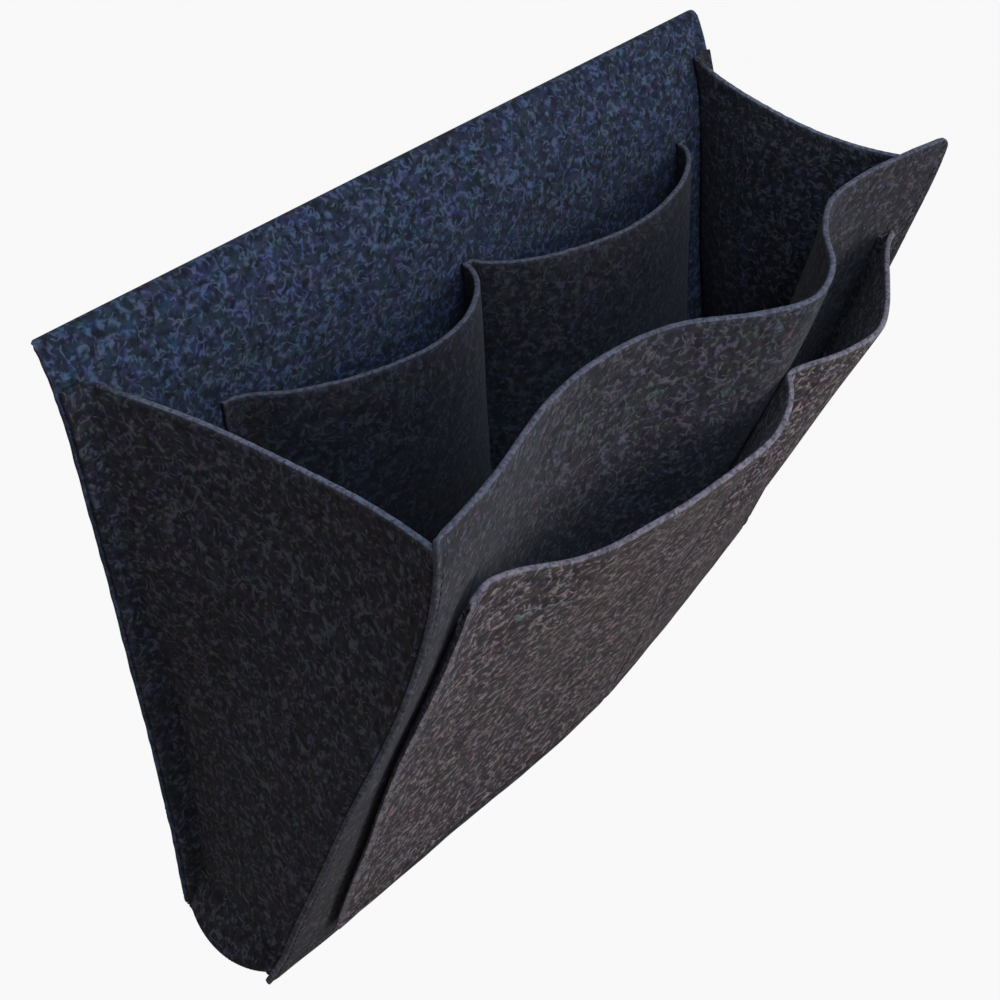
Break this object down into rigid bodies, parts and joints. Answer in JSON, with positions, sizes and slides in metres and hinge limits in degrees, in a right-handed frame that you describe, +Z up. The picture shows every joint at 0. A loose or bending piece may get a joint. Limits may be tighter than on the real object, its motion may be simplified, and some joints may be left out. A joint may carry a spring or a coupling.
{
  "type": "bedside caddy",
  "caption": "Hanging felt caddy for a bed's side: a wide open-topped bag with sewn inner and outer pockets and a flap that goes under the mattress.",
  "frame": {"origin": "middle of the crease where the felt folds over the edge of the bed, which is also the axis the flap turns about", "axes": "+Z up, -Y towards the room and the mouth of the bag, +Y towards the mattress, +X along the crease to the right as seen from the room"},
  "size_m": [0.3497, 0.1656, 0.2447],
  "materials": {
    "back_felt": "thick matt felt, dark blue-grey heather",
    "body_felt": "thick matt felt, charcoal heather",
    "inner_pocket_felt": "thick matt felt, charcoal heather",
    "outer_pocket_felt": "thick matt felt, warm grey heather"
  },
  "bodies": {
    "bag": {"back_panel": "back_felt", "front_panel": "body_felt", "left_gusset": "body_felt", "right_gusset": "body_felt", "base_strip": "body_felt", "inner_pockets": "inner_pocket_felt", "outer_pockets": "outer_pocket_felt"},
    "flap": {"mattress_flap": "back_felt"}
  },
  "joints": [
    {"name": "flap_fold", "type": "hinge", "parent": "bag", "child": "flap", "pos_m": [0, 0, 0], "axis": [1, 0, 0], "range_deg": [0, 180]}
  ]
}
